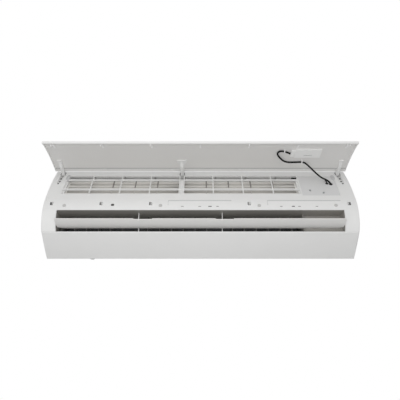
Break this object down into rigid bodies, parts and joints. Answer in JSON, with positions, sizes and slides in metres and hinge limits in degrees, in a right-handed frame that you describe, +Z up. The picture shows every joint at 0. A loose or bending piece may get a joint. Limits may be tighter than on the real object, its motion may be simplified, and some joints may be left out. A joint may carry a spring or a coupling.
{
  "type": "air conditioner indoor unit",
  "caption": "Wall-mounted split air conditioner indoor unit, front panel swung open on its hinge arms over the filters, with a swinging louver and linked vanes in the air outlet.",
  "frame": {"origin": "on the wall face, at the middle of the wall plate", "axes": "+X to the unit's right as seen from the room, +Y into the wall, +Z up"},
  "size_m": [0.92, 0.2985, 0.2945],
  "materials": {
    "casing_white": "satin",
    "inner_grey": "satin",
    "vane_white": "satin",
    "fan_grey": "satin",
    "filter_grey": "satin",
    "cover_grey": "satin",
    "box_steel": "satin",
    "plate_steel": "satin",
    "fin_aluminium": "satin",
    "copper": "satin",
    "nut_brass": "satin",
    "motor_black": "satin",
    "rubber_black": "matte",
    "board_green": "satin",
    "screw_steel": "satin",
    "lead_black": "satin"
  },
  "bodies": {
    "casing": {"wall_plate": "plate_steel", "rear_chassis": "inner_grey", "front_frame": "casing_white", "guard_bars": "casing_white", "top_grille": "casing_white", "left_filter": "filter_grey", "right_filter": "filter_grey", "coil_fins": "fin_aluminium", "coil_end_sheets": "box_steel", "coil_tubes": "copper", "drain_pan": "inner_grey", "outlet_duct": "inner_grey", "louver_supports": "casing_white", "louver_motor": "inner_grey", "fan_motor": "motor_black", "motor_clamp": "box_steel", "fan_bearing": "rubber_black", "control_box": "box_steel", "control_cover": "cover_grey", "control_board": "board_green", "liquid_pipe": "copper", "suction_pipe": "copper", "flare_nuts": "nut_brass", "drain_spigot": "inner_grey", "screws": "screw_steel", "screw_caps": "casing_white", "temperature_sensor": "lead_black", "hinge_pins": "casing_white", "sensor_lead": "lead_black", "display_lead_span": "lead_black"},
    "panel": {"front_panel": "casing_white", "panel_arms": "casing_white", "display_case": "cover_grey", "display_board": "board_green", "display_plug": "cover_grey", "lead_clips": "cover_grey", "display_lead": "lead_black"},
    "louver": {"air_louver": "casing_white"},
    "fan": {"cross_flow_fan": "fan_grey"},
    "link_bar_1": {"link_bar_1": "vane_white"},
    "link_bar_2": {"link_bar_2": "vane_white"},
    "link_bar_3": {"link_bar_3": "vane_white"},
    "vane_01": {"vane_01": "vane_white"},
    "vane_02": {"vane_02": "vane_white"},
    "vane_03": {"vane_03": "vane_white"},
    "vane_04": {"vane_04": "vane_white"},
    "vane_05": {"vane_05": "vane_white"},
    "vane_06": {"vane_06": "vane_white"},
    "vane_07": {"vane_07": "vane_white"},
    "vane_08": {"vane_08": "vane_white"},
    "vane_09": {"vane_09": "vane_white"},
    "vane_10": {"vane_10": "vane_white"},
    "vane_11": {"vane_11": "vane_white"},
    "vane_12": {"vane_12": "vane_white"},
    "vane_13": {"vane_13": "vane_white"},
    "vane_14": {"vane_14": "vane_white"},
    "vane_15": {"vane_15": "vane_white"},
    "vane_16": {"vane_16": "vane_white"},
    "vane_17": {"vane_17": "vane_white"},
    "vane_18": {"vane_18": "vane_white"}
  },
  "joints": [
    {"name": "panel_hinge", "type": "hinge", "parent": "casing", "child": "panel", "pos_m": [0, -0.121, 0.105], "axis": [1, 0, 0], "range_deg": [0, 62.2], "deforming": ["display_lead_span"]},
    {"name": "louver_hinge", "type": "hinge", "parent": "casing", "child": "louver", "pos_m": [0, -0.1895, -0.102], "axis": [1, 0, 0], "range_deg": [-68.9, 15]},
    {"name": "fan_spin", "type": "hinge", "parent": "casing", "child": "fan", "pos_m": [0, -0.075, -0.044], "axis": [1, 0, 0], "continuous": true},
    {"name": "vane_01_pivot", "type": "hinge", "parent": "casing", "child": "vane_01", "pos_m": [-0.403, -0.148, -0.082], "axis": [0, 0, 1], "range_deg": [-30, 30]},
    {"name": "vane_02_pivot", "type": "hinge", "parent": "casing", "child": "vane_02", "pos_m": [-0.3683, -0.148, -0.082], "axis": [0, 0, 1], "range_deg": [-30, 30]},
    {"name": "vane_03_pivot", "type": "hinge", "parent": "casing", "child": "vane_03", "pos_m": [-0.3336, -0.148, -0.082], "axis": [0, 0, 1], "range_deg": [-30, 30]},
    {"name": "vane_04_pivot", "type": "hinge", "parent": "casing", "child": "vane_04", "pos_m": [-0.2989, -0.148, -0.082], "axis": [0, 0, 1], "range_deg": [-30, 30]},
    {"name": "vane_05_pivot", "type": "hinge", "parent": "casing", "child": "vane_05", "pos_m": [-0.2642, -0.148, -0.082], "axis": [0, 0, 1], "range_deg": [-30, 30]},
    {"name": "vane_06_pivot", "type": "hinge", "parent": "casing", "child": "vane_06", "pos_m": [-0.2295, -0.148, -0.082], "axis": [0, 0, 1], "range_deg": [-30, 30]},
    {"name": "link_bar_1_slide", "type": "slide", "parent": "casing", "child": "link_bar_1", "axis": [1, 0, 0], "range_m": [-0.00809, 0.00809]},
    {"name": "vane_07_pivot", "type": "hinge", "parent": "casing", "child": "vane_07", "pos_m": [-0.155, -0.148, -0.082], "axis": [0, 0, 1], "range_deg": [-30, 30]},
    {"name": "vane_08_pivot", "type": "hinge", "parent": "casing", "child": "vane_08", "pos_m": [-0.1203, -0.148, -0.082], "axis": [0, 0, 1], "range_deg": [-30, 30]},
    {"name": "vane_09_pivot", "type": "hinge", "parent": "casing", "child": "vane_09", "pos_m": [-0.0856, -0.148, -0.082], "axis": [0, 0, 1], "range_deg": [-30, 30]},
    {"name": "vane_10_pivot", "type": "hinge", "parent": "casing", "child": "vane_10", "pos_m": [-0.0509, -0.148, -0.082], "axis": [0, 0, 1], "range_deg": [-30, 30]},
    {"name": "vane_11_pivot", "type": "hinge", "parent": "casing", "child": "vane_11", "pos_m": [-0.0162, -0.148, -0.082], "axis": [0, 0, 1], "range_deg": [-30, 30]},
    {"name": "vane_12_pivot", "type": "hinge", "parent": "casing", "child": "vane_12", "pos_m": [0.0185, -0.148, -0.082], "axis": [0, 0, 1], "range_deg": [-30, 30]},
    {"name": "link_bar_2_slide", "type": "slide", "parent": "casing", "child": "link_bar_2", "axis": [1, 0, 0], "range_m": [-0.00809, 0.00809]},
    {"name": "vane_13_pivot", "type": "hinge", "parent": "casing", "child": "vane_13", "pos_m": [0.095, -0.148, -0.082], "axis": [0, 0, 1], "range_deg": [-30, 30]},
    {"name": "vane_14_pivot", "type": "hinge", "parent": "casing", "child": "vane_14", "pos_m": [0.1297, -0.148, -0.082], "axis": [0, 0, 1], "range_deg": [-30, 30]},
    {"name": "vane_15_pivot", "type": "hinge", "parent": "casing", "child": "vane_15", "pos_m": [0.1644, -0.148, -0.082], "axis": [0, 0, 1], "range_deg": [-30, 30]},
    {"name": "vane_16_pivot", "type": "hinge", "parent": "casing", "child": "vane_16", "pos_m": [0.1991, -0.148, -0.082], "axis": [0, 0, 1], "range_deg": [-30, 30]},
    {"name": "vane_17_pivot", "type": "hinge", "parent": "casing", "child": "vane_17", "pos_m": [0.2338, -0.148, -0.082], "axis": [0, 0, 1], "range_deg": [-30, 30]},
    {"name": "vane_18_pivot", "type": "hinge", "parent": "casing", "child": "vane_18", "pos_m": [0.2685, -0.148, -0.082], "axis": [0, 0, 1], "range_deg": [-30, 30]},
    {"name": "link_bar_3_slide", "type": "slide", "parent": "casing", "child": "link_bar_3", "axis": [1, 0, 0], "range_m": [-0.00809, 0.00809]}
  ],
  "couplings": [
    {"joint": "vane_01_pivot", "follows": "link_bar_1_slide", "rad_per_m": -64.68},
    {"joint": "vane_02_pivot", "follows": "link_bar_1_slide", "rad_per_m": -64.68},
    {"joint": "vane_03_pivot", "follows": "link_bar_1_slide", "rad_per_m": -64.68},
    {"joint": "vane_04_pivot", "follows": "link_bar_1_slide", "rad_per_m": -64.68},
    {"joint": "vane_05_pivot", "follows": "link_bar_1_slide", "rad_per_m": -64.68},
    {"joint": "vane_06_pivot", "follows": "link_bar_1_slide", "rad_per_m": -64.68},
    {"joint": "vane_07_pivot", "follows": "link_bar_2_slide", "rad_per_m": -64.68},
    {"joint": "vane_08_pivot", "follows": "link_bar_2_slide", "rad_per_m": -64.68},
    {"joint": "vane_09_pivot", "follows": "link_bar_2_slide", "rad_per_m": -64.68},
    {"joint": "vane_10_pivot", "follows": "link_bar_2_slide", "rad_per_m": -64.68},
    {"joint": "vane_11_pivot", "follows": "link_bar_2_slide", "rad_per_m": -64.68},
    {"joint": "vane_12_pivot", "follows": "link_bar_2_slide", "rad_per_m": -64.68},
    {"joint": "vane_13_pivot", "follows": "link_bar_3_slide", "rad_per_m": -64.68},
    {"joint": "vane_14_pivot", "follows": "link_bar_3_slide", "rad_per_m": -64.68},
    {"joint": "vane_15_pivot", "follows": "link_bar_3_slide", "rad_per_m": -64.68},
    {"joint": "vane_16_pivot", "follows": "link_bar_3_slide", "rad_per_m": -64.68},
    {"joint": "vane_17_pivot", "follows": "link_bar_3_slide", "rad_per_m": -64.68},
    {"joint": "vane_18_pivot", "follows": "link_bar_3_slide", "rad_per_m": -64.68}
  ]
}
